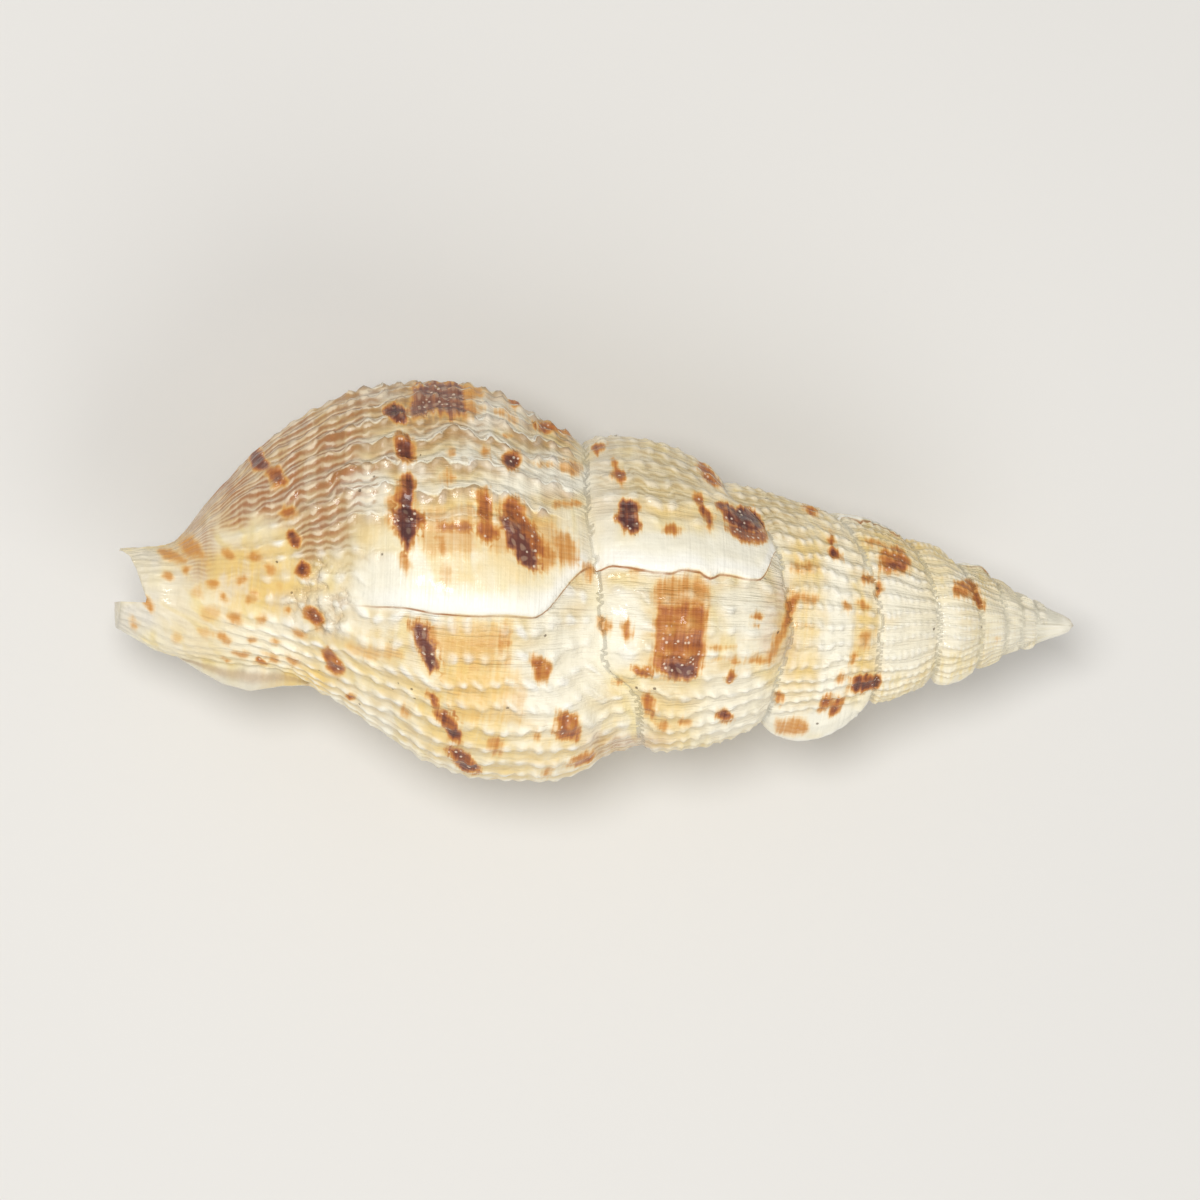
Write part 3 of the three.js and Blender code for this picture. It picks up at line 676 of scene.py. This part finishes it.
# Broad washes of colour: name, left, right, top and foot in the picture, hue, strength
WASHES = [
    ("shoulder_tan", 190, 385, 385, 540, "tan", 1.0), ("canal_tan", 160, 225, 505, 575, "tan", 0.7),
    ("canal_blush", 165, 240, 600, 665, "tan", 0.16), ("top_band", 330, 500, 378, 440, "tan", 0.6),
    ("top_right", 520, 575, 410, 455, "yellow", 0.5),
    ("shoulder_olive", 290, 372, 450, 570, "olive", 0.8),
    ("ridges_olive", 400, 560, 430, 478, "olive", 0.6),
    ("base_yellow", 205, 330, 530, 612, "yellow", 1.0), ("base_tan", 185, 300, 520, 600, "tan", 0.22),
    ("base_low", 225, 330, 600, 665, "yellow", 0.3), ("base_net", 225, 320, 618, 660, "white", 0.55),
    ("face_top", 412, 580, 490, 580, "yellow", 0.9), ("face_foot", 440, 505, 560, 605, "yellow", 0.5),
    ("rim_white", 360, 415, 555, 612, "white", 0.85), ("nodule_white", 352, 398, 470, 512, "white", 0.8),
    ("rim_yellow", 352, 392, 520, 560, "yellow", 0.5), ("lower_peach", 428, 528, 614, 742, "yellow", 1.0),
    ("lower_left", 345, 425, 620, 690, "yellow", 0.45), ("belly", 480, 640, 728, 780, "yellow", 0.55),
    ("ridge_white", 488, 580, 456, 506, "white", 1.0),
    ("ridge_white_3", 440, 500, 448, 470, "white", 0.6),
    ("ridge_white_2", 395, 425, 460, 482, "white", 0.8), ("top_white", 455, 530, 396, 434, "white", 0.95),
    ("top_white_2", 352, 400, 392, 404, "white", 0.7), ("face_white", 360, 560, 588, 614, "white", 0.9),
    ("mid_white", 516, 620, 614, 720, "white", 0.8), ("second_grey", 575, 620, 450, 560, "grey", 0.6),
    ("second_olive", 600, 700, 440, 505, "olive", 0.75),
    ("second_white", 590, 760, 535, 572, "white", 0.8),
    ("second_yellow", 625, 735, 475, 530, "yellow", 0.4),
    ("second_mid", 600, 650, 590, 660, "white", 0.9), ("second_right", 716, 765, 575, 640, "white", 0.8),
    ("second_tan_rim", 760, 792, 580, 665, "tan", 0.4), ("third_tan", 715, 800, 485, 535, "olive", 0.8),
    ("third_yellow", 786, 820, 530, 690, "yellow", 0.75),
    ("third_white", 820, 852, 530, 720, "white", 0.9),
    ("third_orange", 852, 880, 590, 680, "yellow", 1.0),
    ("flange_white", 815, 872, 700, 740, "white", 0.9),
    ("foot_yellow", 640, 700, 695, 745, "yellow", 0.5), ("foot_tan", 600, 665, 728, 756, "tan", 0.6),
    ("foot_white", 700, 800, 680, 740, "white", 0.7),
    ("fourth_yellow", 850, 940, 530, 552, "yellow", 0.6),
    ("fourth_white", 880, 985, 575, 665, "white", 0.8),
    ("fourth_soft", 905, 950, 590, 650, "yellow", 0.3), ("tip_pale", 980, 1065, 580, 660, "white", 0.6),
    ("tip_white", 1045, 1080, 600, 645, "white", 0.7), ("prong_grey", 118, 170, 545, 600, "grey", 0.9),
    ("prong_low", 118, 160, 600, 640, "grey", 1.0), ("canal_grey", 150, 200, 560, 665, "grey", 0.5),
    ("shield_grey", 205, 275, 664, 692, "grey", 0.7),
    ("shield_yellow", 270, 335, 664, 692, "yellow", 1.0), ("keel_grey", 290, 345, 590, 640, "grey", 0.5),
]
wash = {hue: np.zeros(count) for hue in ("white", "tan", "yellow", "grey", "olive")}
drift = noise(pic_x / 26, pic_y / 20, still, 14) * 0.45
for name, left, right, top, foot, hue, strength in WASHES:
    dx, dy = (pic_x - (left + right) / 2) * 2 / (right - left), (pic_y - (top + foot) / 2) * 2 / (foot - top)
    reach = (np.abs(dx) ** 3 + np.abs(dy) ** 3) ** (1 / 3) + drift
    wash[hue] = np.maximum(wash[hue], strength * (1 - smooth(reach, 0.55, 1.35)) * facing)

# Where the photograph shows nothing the washes follow the growth instead
body1 = on_body.astype(float)
lip_side = smooth(turn, 40, 90) * body1
unseen = 1 - smooth(normals @ to_camera, 0.0, 0.15)
cloud = noise(D / 3.5, turn / 14, still, 21) * 0.5 + 0.5
wash["tan"] = np.maximum(wash["tan"], unseen * lip_side * smooth(v_at, 0.15, 0.4) * (0.4 + 0.6 * cloud))
low_part = body1 * smooth(v_at, 0.6, 0.7) * (1 - smooth(v_at, 0.88, 0.97))
wash["yellow"] = np.maximum(wash["yellow"], unseen * np.maximum(low_part, smooth(cloud, 0.45, 0.8)) * 0.6)
wash["white"] = np.maximum(wash["white"], unseen * smooth(1 - cloud, 0.5, 0.8) * 0.7)
wash["grey"] = np.maximum(wash["grey"], unseen * body1 * smooth(v_at, 0.88, 0.96) * 0.7)
# A glossy patch low on the keel; its lumps also get a painted highlight each
GLOSS_X, GLOSS_Y, GLOSS_WIDE, GLOSS_TALL = 328, 600, 34, 48
gloss_dx, gloss_dy = (pic_x - GLOSS_X) / GLOSS_WIDE, (pic_y - GLOSS_Y) / GLOSS_TALL
gloss_and_highlight = (1 - smooth(np.hypot(gloss_dx, gloss_dy) + drift * 0.6, 0.6, 1.2)) * facing


def attribute(mesh, name, values):
    data = np.ones((count, 4))
    data[:, :values.shape[1]] = values
    layer = mesh.attributes.new(name, "FLOAT_COLOR", "POINT")
    layer.data.foreach_set("color", data.ravel())


def vector_attribute(mesh, name, x, y, z):
    layer = mesh.attributes.new(name, "FLOAT_VECTOR", "POINT")
    layer.data.foreach_set("vector", np.stack([x, y, z], -1).ravel())


attribute(cut_mesh, "mark", np.stack([near_mark, peak_here, purple, looks["size"]], -1))
attribute(cut_mesh, "surface", np.stack([gloss_and_highlight, looks["face"], looks["bold"], looks["reach"]], -1))
attribute(cut_mesh, "wash", np.stack([wash["white"], wash["tan"], wash["yellow"], wash["grey"]], -1))
attribute(cut_mesh, "relief", np.stack([looks["live"], looks["crowd"], wash["olive"]], -1))
past_edge = np.clip(looks["past"] / PAST_RANGE, -1, 1)
attribute(cut_mesh, "inner", np.stack([inside, looks["shield"], past_edge, on_body], -1))
vector_attribute(cut_mesh, "grow", turn, D, v_at)
vector_attribute(cut_mesh, "phase", looks["rib_phase"], looks["cord_phase"], looks["lamina_phase"])
cut_mesh.shade_smooth()
piece = add_object("shell_fine", cut_mesh)


# Materials
def tone(r, g, b):
    """A colour as a screen shows it, made linear for the shader."""
    out = []
    for c in (r, g, b):
        c = c / 255
        out.append(c / 12.92 if c <= 0.04045 else ((c + 0.055) / 1.055) ** 2.4)
    return (*out, 1)


class Nodes:
    def __init__(self, material):
        material.use_nodes = True
        self.tree = material.node_tree
        self.tree.nodes.clear()

    def add(self, kind, **settings):
        node = self.tree.nodes.new(kind)
        for key, value in settings.items():
            setattr(node, key, value)
        return node

    def feed(self, socket, value):
        if hasattr(value, "is_output"):
            self.tree.links.new(value, socket)
        else:
            socket.default_value = value

    def attr(self, name):
        return self.add("ShaderNodeAttribute", attribute_name=name)

    def split(self, name):
        parts = self.add("ShaderNodeSeparateColor")
        node = self.attr(name)
        self.feed(parts.inputs[0], node.outputs["Color"])
        return [parts.outputs[0], parts.outputs[1], parts.outputs[2], node.outputs["Alpha"]]

    def math(self, how, a, b=0.0, c=0.0, clamp=False):
        node = self.add("ShaderNodeMath", operation=how, use_clamp=clamp)
        for socket, value in zip(node.inputs, (a, b, c)):
            self.feed(socket, value)
        return node.outputs[0]

    def times(self, a, b, clamp=False):
        return self.math("MULTIPLY", a, b, clamp=clamp)

    def plus(self, a, b):
        return self.math("ADD", a, b)

    def minus(self, a, b):
        return self.math("SUBTRACT", a, b)

    def lift(self, x, slope, base):
        return self.math("MULTIPLY_ADD", x, slope, base)

    def xyz(self, vector):
        node = self.add("ShaderNodeSeparateXYZ")
        self.feed(node.inputs[0], vector)
        return node.outputs

    def cells(self, where, scale):
        """The distance to the nearest of many scattered points."""
        node = self.add("ShaderNodeTexVoronoi")
        self.feed(node.inputs["Vector"], where)
        self.feed(node.inputs["Scale"], scale)
        return node.outputs["Distance"]

    def ramp(self, x, a, b, low=0.0, high=1.0):
        node = self.add("ShaderNodeMapRange", interpolation_type="SMOOTHSTEP")
        for socket, value in zip(node.inputs, (x, a, b, low, high)):
            self.feed(socket, value)
        return node.outputs[0]

    def mix(self, amount, a, b, how="MIX"):
        node = self.add("ShaderNodeMix", data_type="RGBA", blend_type=how)
        self.feed(node.inputs[0], amount)
        self.feed(node.inputs[6], a)
        self.feed(node.inputs[7], b)
        return node.outputs[2]

    def noise(self, where, scale, detail=2.0, stretch=(1, 1, 1)):
        move = self.add("ShaderNodeMapping")
        self.feed(move.inputs["Vector"], where)
        self.feed(move.inputs["Scale"], stretch)
        node = self.add("ShaderNodeTexNoise")
        self.feed(node.inputs["Vector"], move.outputs[0])
        self.feed(node.inputs["Scale"], scale)
        self.feed(node.inputs["Detail"], detail)
        return node.outputs[0]


# Lumps, specks and pinholes to the metre
LUMP_SCALE, SPECK_SCALE, PIN_SCALE = 1300, 2100, 520
RELIEF_STRENGTH, RELIEF_DEPTH = 0.6, 0.35 * MM
material = bpy.data.materials.new("shell_surface")
g = Nodes(material)
where = g.add("ShaderNodeTexCoord").outputs["Object"]
grow_at = g.attr("grow").outputs["Vector"]
phase_at = g.attr("phase").outputs["Vector"]
rib_phase, cord_phase, lamina_phase = g.xyz(phase_at)
near_m, peak_m, purple_m, size_m = g.split("mark")
gloss_and_highlight_m, face_m, bold_m, reach_m = g.split("surface")
white_w, tan_w, yellow_w, grey_w = g.split("wash")
live_r, crowd_r, olive_w, _ = g.split("relief")
inside_m, shield_m, past_m, body_m = g.split("inner")
broad = g.noise(where, 140, 3)
patchy = g.noise(where, 420, 4)
fine = g.noise(where, 1500, 3)
grain = g.noise(where, 2600, 2)
lines = g.noise(grow_at, 1.0, 3, (0.9, 0.2, 1))
spiral = g.noise(grow_at, 1.0, 2, (0.03, 3.2, 1))
blocks = g.noise(phase_at, 1.0, 2, (0.35, 0.8, 0))
down_m = g.xyz(grow_at)[1]
streaky = g.ramp(down_m, 56, 64, 1.0, 0.2)


def wave(phase, blur):
    """0 to 1 along a phase that counts whole waves, with some of the noise added."""
    bent = g.plus(phase, g.times(g.minus(patchy, 0.5), blur))
    return g.lift(g.math("COSINE", g.times(bent, 2 * math.pi)), 0.5, 0.5)


def over(amount, strength, under, top):
    return g.mix(g.times(amount, strength, clamp=True), under, top)


def about(value, amount):
    """A noise turned round zero."""
    return g.times(g.minus(value, 0.5), amount)


rib_w, cord_w, lamina_w = wave(rib_phase, 0.7), wave(cord_phase, 0.5), wave(lamina_phase, 1.2)
nodule = g.times(g.math("POWER", rib_w, 1.4), g.lift(cord_w, 0.6, 0.4))
# Ridges that overhang on one side: a step, a painted white highlight just past it and painted tan shadow
# before it
bend = g.times(g.times(cord_w, -0.13), g.ramp(blocks, 0.35, 0.65))
scallop = g.plus(bend, g.plus(rib_phase, about(patchy, 0.7)))
step_at = g.math("FRACT", scallop)
step_shade = g.times(g.ramp(step_at, 0.4, 0.94), g.ramp(step_at, 0.96, 1.0, 1.0, 0.0))
step_highlight = g.times(g.ramp(step_at, 0.0, 0.04), g.ramp(step_at, 0.16, 0.55, 1.0, 0.0))
terrace = g.times(bold_m, 1.4, clamp=True)
step_live = g.times(live_r, g.ramp(down_m, 59, 67, 1.0, 0.2))
step_shade_live = g.times(step_live, g.lift(white_w, -0.6, 1.0))

colour = g.mix(g.ramp(broad, 0.38, 0.62), tone(252, 246, 224), tone(245, 231, 190))
yellow_block = g.times(g.ramp(blocks, 0.46, 0.66), g.lift(white_w, -0.7, 0.75))
colour = over(yellow_block, 1.0, colour, tone(242, 220, 152))
low_lying = g.times(g.times(g.minus(1.0, nodule), live_r), g.lift(size_m, 0.7, 0.3))
colour = over(low_lying, g.ramp(patchy, 0.3, 0.7, 0.2, 0.75), colour, tone(226, 197, 138))
line_here = g.times(g.ramp(lines, 0.5, 0.75), streaky)
colour = over(line_here, g.lift(live_r, 0.3, 0.06), colour, tone(226, 192, 138))
colour = over(yellow_w, g.ramp(g.plus(patchy, about(spiral, 0.5)), 0.3, 0.62, 0.35, 0.95), colour,
              tone(240, 206, 126))
colour = over(olive_w, g.ramp(patchy, 0.3, 0.6, 0.55, 1.0), colour, tone(212, 194, 148))
tan_patch = g.plus(g.plus(patchy, g.times(lamina_w, 0.25)), about(spiral, 0.4))
colour = over(tan_w, g.ramp(tan_patch, 0.35, 0.85, 1.0, 0.4), colour, tone(177, 119, 74))
colour = over(grey_w, g.ramp(patchy, 0.3, 0.7, 0.6, 1.0), colour, tone(226, 219, 204))
colour = over(white_w, g.ramp(patchy, 0.3, 0.6, 0.75, 1.0), colour, tone(248, 243, 224))
colour = over(face_m, 0.25, colour, tone(250, 246, 230))
crest = g.times(g.times(nodule, live_r), g.lift(tan_w, -0.5, 0.95))
crest_here = g.times(g.ramp(g.plus(patchy, about(blocks, 0.6)), 0.35, 0.7, 0.25, 0.9),
                    g.lift(body_m, 0.45, 0.55))
colour = over(g.ramp(crest, 0.2, 0.9), crest_here, colour, tone(254, 251, 240))
# Painted shadow on the slope before each step
colour = over(g.times(step_shade, step_shade_live), g.lift(terrace, 0.75, 0.12), colour,
              tone(176, 134, 80))
# Painted highlight on the crest just past each step
colour = over(g.times(step_highlight, step_live), g.lift(terrace, 0.6, 0.1), colour,
              tone(251, 245, 226))
# Fine scallops where the growth lines crowd round the nodules, with a painted highlight on the nodules
scallop_w = wave(g.lift(cord_w, 0.2, lamina_phase), 2.2)
scalloped = g.times(g.math("MAXIMUM", g.ramp(tan_w, 0.3, 0.7), olive_w), live_r)
between = g.times(scalloped, g.ramp(cord_w, 0.2, 0.9, 1.0, 0.2))
scalloped = g.times(scalloped, g.ramp(cord_w, 0.3, 0.9, 0.25, 1.0))
gap_tone = g.mix(tan_w, tone(190, 156, 98), tone(168, 116, 70))
colour = over(g.times(g.ramp(scallop_w, 0.0, 0.6, 1.0, 0.0), between), 0.6, colour, gap_tone)
# Painted highlight on the scallops over the nodules
colour = over(g.times(g.ramp(scallop_w, 0.5, 1.0), scalloped), 0.6, colour, tone(250, 234, 204))

# Clear lumps low on the keel, each with a darker edge and a painted highlight in its middle
lump = g.plus(g.cells(where, LUMP_SCALE), about(fine, 0.9))
clump = g.times(gloss_and_highlight_m, g.ramp(patchy, 0.42, 0.6))
colour = over(g.times(clump, g.ramp(lump, 0.35, 0.65)), 0.5, colour, tone(206, 172, 122))
# Painted highlight in the middle of each lump
colour = over(g.times(clump, g.ramp(lump, 0.05, 0.25, 1.0, 0.0)), 0.6, colour, tone(255, 250, 232))

# Marks: their edge is broken up by the grain and drawn out along the fine spiral lines
streak = g.times(about(spiral, 1.0), streaky)
edge_noise = g.plus(about(fine, 0.32), g.lift(streak, 0.5, about(grain, 0.15)))
close_m = g.plus(near_m, g.times(edge_noise, g.ramp(near_m, 0.0, 0.2)))
depth = g.times(peak_m, g.ramp(close_m, 0.08, 1.0))
depth = g.times(depth, g.plus(1.0, g.lift(streak, 0.6, about(lines, 0.4))))
# The stains thin out on the nodule crests: partly the white beads showing through, partly a painted
# highlight on the crests
depth = g.times(depth, g.lift(crest, -0.3, 1.0))
stains = g.add("ShaderNodeValToRGB")
g.feed(stains.inputs[0], depth)
band = stains.color_ramp
band.elements[0].position, band.elements[0].color = 0.0, tone(248, 226, 172)
band.elements[1].position, band.elements[1].color = 1.0, tone(62, 30, 32)
STAIN_STOPS = [(0.2, 238, 194, 118), (0.38, 214, 152, 76), (0.56, 186, 112, 54), (0.76, 126, 66, 42)]
for at, r, green, b in STAIN_STOPS:
    stop = band.elements.new(at)
    stop.color = tone(r, green, b)
close_cord = g.lift(g.math("COSINE", g.times(cord_phase, 4 * math.pi)), 0.5, 0.5)
close_bead = g.times(lamina_w, close_cord)
purple_deep = g.mix(g.ramp(depth, 0.4, 0.8), tone(172, 120, 90), tone(108, 62, 54))
purple_tone = g.mix(g.ramp(close_bead, 0.25, 0.8, 0.0, 0.65), purple_deep, tone(190, 158, 132))
stained = g.mix(g.times(purple_m, g.ramp(depth, 0.3, 0.6)), stains.outputs[0], purple_tone)
colour = g.mix(g.ramp(depth, 0.05, 0.45), colour, stained)
speck = g.times(g.ramp(g.cells(where, SPECK_SCALE), 0.14, 0.34, 1.0, 0.0),
               g.math("GREATER_THAN", g.noise(where, 700, 1), 0.52))
colour = over(g.times(speck, g.ramp(depth, 0.35, 0.6)), 0.7, colour, tone(252, 232, 206))
# The edge of a varix: a thin brown line of painted shadow on the riser just before it, under a white rim
past_turn = g.times(past_m, PAST_RANGE)
rim_shadow_line = g.times(g.ramp(past_turn, -1.5, -1.0), g.ramp(past_turn, -0.8, -0.4, 1.0, 0.0))
rim_white = g.times(g.ramp(past_turn, -0.6, 0.0), g.ramp(past_turn, 2.0, 7.0, 1.0, 0.0))
colour = over(g.times(rim_white, reach_m), g.ramp(depth, 0.1, 0.4, 0.7, 0.1), colour, tone(254, 252, 244))
# Painted shadow on the riser of the varix
colour = over(g.times(rim_shadow_line, reach_m), g.ramp(patchy, 0.35, 0.65, 0.3, 0.95), colour, tone(168, 104, 50))

hollow_tone = g.mix(g.ramp(broad, 0.4, 0.6), tone(250, 244, 226), tone(240, 222, 190))
colour = g.mix(g.times(inside_m, 0.9), colour, hollow_tone)
colour = over(shield_m, g.lift(yellow_w, -0.35, 0.5), colour, tone(238, 232, 216))
shield_edge = g.times(g.ramp(shield_m, 0.1, 0.4), g.ramp(shield_m, 0.5, 0.9, 1.0, 0.0))
colour = over(shield_edge, 0.45, colour, tone(172, 132, 92))
pin = g.times(g.ramp(g.cells(where, PIN_SCALE), 0.04, 0.085, 1.0, 0.0),
             g.math("GREATER_THAN", g.noise(where, 260, 1), 0.54))
colour = g.mix(g.times(pin, 0.75), colour, tone(104, 74, 50))

surface_node = g.add("ShaderNodeBsdfPrincipled")
rough = g.lift(gloss_and_highlight_m, -0.15, g.ramp(fine, 0.3, 0.7, 0.28, 0.46))
for name, value in (("Base Color", colour), ("Roughness", rough), ("Specular IOR Level", 0.35),
                    ("Coat Weight", 0.3), ("Coat Roughness", 0.08)):
    g.feed(surface_node.inputs[name], value)
height = g.times(g.minus(lamina_w, 0.5), g.times(live_r, g.lift(bold_m, 0.35, 0.12)))
step_up = g.times(g.ramp(step_at, 0.0, 0.07), g.minus(1.0, step_at))
line_depth = g.times(streaky, g.lift(crowd_r, 1.5, g.lift(face_m, -0.6, 0.8)))
relief = [
    (g.times(step_up, step_live), g.lift(terrace, 1.0, 0.12)),
    (nodule, g.times(live_r, g.times(size_m, 0.7))),
    (g.minus(lines, 0.5), line_depth), (g.minus(spiral, 0.5), g.lift(face_m, 0.3, 0.2)),
    (patchy, 0.9), (fine, 0.3), (lump, g.times(clump, -2.0)), (pin, -0.8),
]
for form, strength in relief:
    height = g.plus(height, g.times(form, strength))
height = g.times(height, g.lift(g.math("MAXIMUM", inside_m, g.times(shield_m, 0.6)), -0.8, 1.0))
bump = g.add("ShaderNodeBump")
for name, value in (("Strength", RELIEF_STRENGTH), ("Distance", RELIEF_DEPTH), ("Height", height)):
    g.feed(bump.inputs[name], value)
g.feed(surface_node.inputs["Normal"], bump.outputs[0])
out = g.add("ShaderNodeOutputMaterial")
g.feed(out.inputs["Surface"], surface_node.outputs[0])
cut_mesh.materials.clear()
cut_mesh.materials.append(material)

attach(piece, "root")
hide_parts("shell")

# Floor, light and camera
HALF = 2.0
corners = [(-HALF, -HALF, 0), (HALF, -HALF, 0), (HALF, HALF, 0), (-HALF, HALF, 0)]
floor = add_mesh("floor", corners, [(0, 1, 2), (0, 2, 3)])
paper = bpy.data.materials.new("floor_paper")
f = Nodes(paper)
f_surface = f.add("ShaderNodeBsdfPrincipled")
f.feed(f_surface.inputs["Base Color"], tone(226, 224, 220))
f.feed(f_surface.inputs["Roughness"], 0.8)
f_out = f.add("ShaderNodeOutputMaterial")
f.feed(f_out.inputs["Surface"], f_surface.outputs[0])
floor.data.materials.append(paper)

world = bpy.data.worlds.new("soft")
bpy.context.scene.world = world
world.use_nodes = True
SKY_COLOUR, SKY_STRENGTH = (1.0, 0.985, 0.96, 1), 0.42
sky = world.node_tree.nodes["Background"]
sky.inputs[0].default_value, sky.inputs[1].default_value = SKY_COLOUR, SKY_STRENGTH


def soft_light(name, where_at, size, power):
    light = bpy.data.lights.new(name, "AREA")
    light.shape, light.size, light.energy = "DISK", size, power
    thing = add_object(name, light)
    thing.location = where_at
    aim = -np.array(where_at, float)
    thing.rotation_mode = "QUATERNION"
    thing.rotation_quaternion = Vector(aim).to_track_quat("-Z", "Y")


soft_light("key", (-0.12, 0.05, 0.48), 0.16, 1.28)
soft_light("fill", (0.16, -0.34, 0.34), 0.4, 0.75)

camera = add_object("camera", bpy.data.cameras.new("camera"))
SENSOR, DISTANCE = 36.0, 0.7
FRAME_WIDTH = FRAME_PIXELS * PER_PIXEL * MM * math.cos(TILT)
camera.data.sensor_width = SENSOR
camera.data.lens = SENSOR * DISTANCE / FRAME_WIDTH
roll = math.atan(AXIS_SLOPE)
back = Vector(to_camera)
side = Vector((math.cos(TILT), 0, math.sin(TILT)))
up = back.cross(side)
right = side * math.cos(roll) + up * math.sin(roll)
up = back.cross(right)
axis_at_middle = Vector((0, AXIS_Y * MM, AXIS_Z * MM))
turned_axes = Matrix((right, up, back)).transposed().to_4x4()
camera.matrix_world = Matrix.Translation(axis_at_middle + back * DISTANCE) @ turned_axes
bpy.context.scene.camera = camera
bpy.context.scene.view_settings.view_transform = "Standard"
